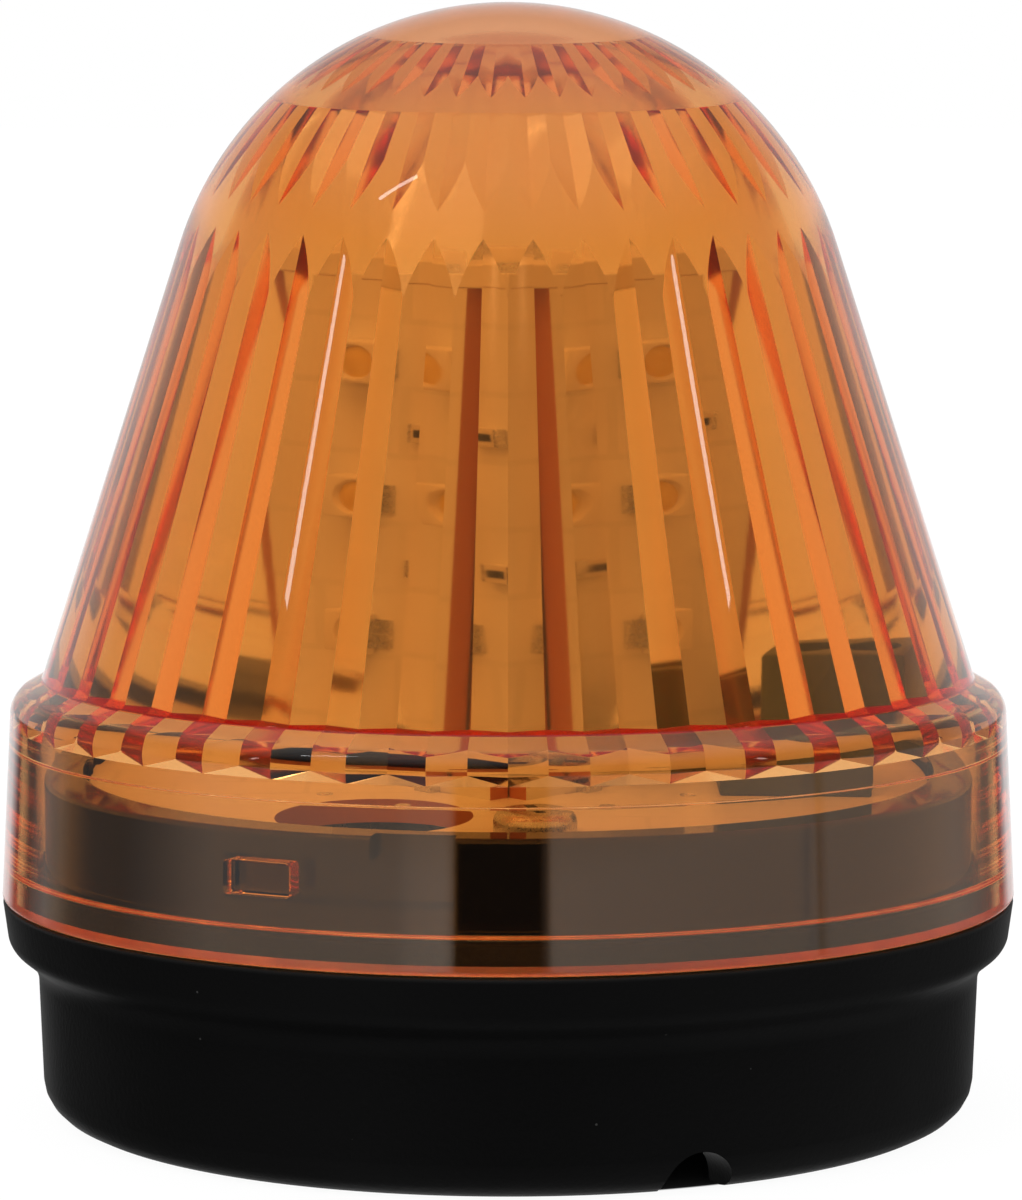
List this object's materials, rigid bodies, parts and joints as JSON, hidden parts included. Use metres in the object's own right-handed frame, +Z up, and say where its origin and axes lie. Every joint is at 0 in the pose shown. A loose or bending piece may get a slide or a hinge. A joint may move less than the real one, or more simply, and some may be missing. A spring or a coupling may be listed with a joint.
{
  "type": "beacon light",
  "caption": "Round amber signal beacon: bullet-shaped ribbed lens that twists on a bayonet over a black surface-mount base, with an LED tower inside.",
  "frame": {"origin": "centre of the foot ring, on the mounting surface", "axes": "+Z up along the beacon's axis to the lens apex, -Y towards the side the picture shows"},
  "size_m": [0.07, 0.07, 0.0763],
  "materials": {
    "base_black": "fine moulded texture",
    "lens_amber": "clear amber polycarbonate, polished",
    "seal_rubber": "matte black rubber",
    "board_white": "white solder mask",
    "screw_steel": "zinc plated",
    "led_package": "white package, clear dome fill",
    "chip_black": "moulded epoxy",
    "terminal_green": "dark green nylon",
    "clamp_brass": "nickelled brass",
    "switch_black": "black thermoplastic",
    "slider_white": "white thermoplastic",
    "capacitor_can": "sleeved aluminium can",
    "varistor_blue": "dipped epoxy coat",
    "ferrite": "ground ferrite"
  },
  "bodies": {
    "base": {"base_housing": "base_black", "lens_seal": "seal_rubber", "cable_grommet": "seal_rubber", "main_board": "board_white", "board_screws": "screw_steel", "led_board_1": "board_white", "led_board_2": "board_white", "led_board_3": "board_white", "led_board_4": "board_white", "leds_1": "led_package", "leds_2": "led_package", "leds_3": "led_package", "leds_4": "led_package", "led_resistors": "chip_black", "tower_top_board": "board_white", "top_leds": "led_package", "terminal_block": "terminal_green", "terminal_screws": "screw_steel", "terminal_clamps": "clamp_brass", "dip_switch_body": "switch_black", "smoothing_capacitor": "capacitor_can", "varistor": "varistor_blue", "inductor": "ferrite", "bridge_rectifier": "chip_black", "driver_chip": "chip_black"},
    "lens": {"lens": "lens_amber"},
    "dip_slider_1": {"dip_slider_1": "slider_white"},
    "dip_slider_2": {"dip_slider_2": "slider_white"},
    "dip_slider_3": {"dip_slider_3": "slider_white"},
    "dip_slider_4": {"dip_slider_4": "slider_white"}
  },
  "joints": [
    {"name": "lens_twist", "type": "hinge", "parent": "base", "child": "lens", "pos_m": [0, 0, 0.015], "axis": [0, 0, 1], "range_deg": [0, 18]},
    {"name": "dip_slide_1", "type": "slide", "parent": "base", "child": "dip_slider_1", "axis": [1, 0, 0], "range_m": [0, 0.0015]},
    {"name": "dip_slide_2", "type": "slide", "parent": "base", "child": "dip_slider_2", "axis": [1, 0, 0], "range_m": [0, 0.0015]},
    {"name": "dip_slide_3", "type": "slide", "parent": "base", "child": "dip_slider_3", "axis": [1, 0, 0], "range_m": [0, 0.0015]},
    {"name": "dip_slide_4", "type": "slide", "parent": "base", "child": "dip_slider_4", "axis": [1, 0, 0], "range_m": [0, 0.0015]}
  ]
}
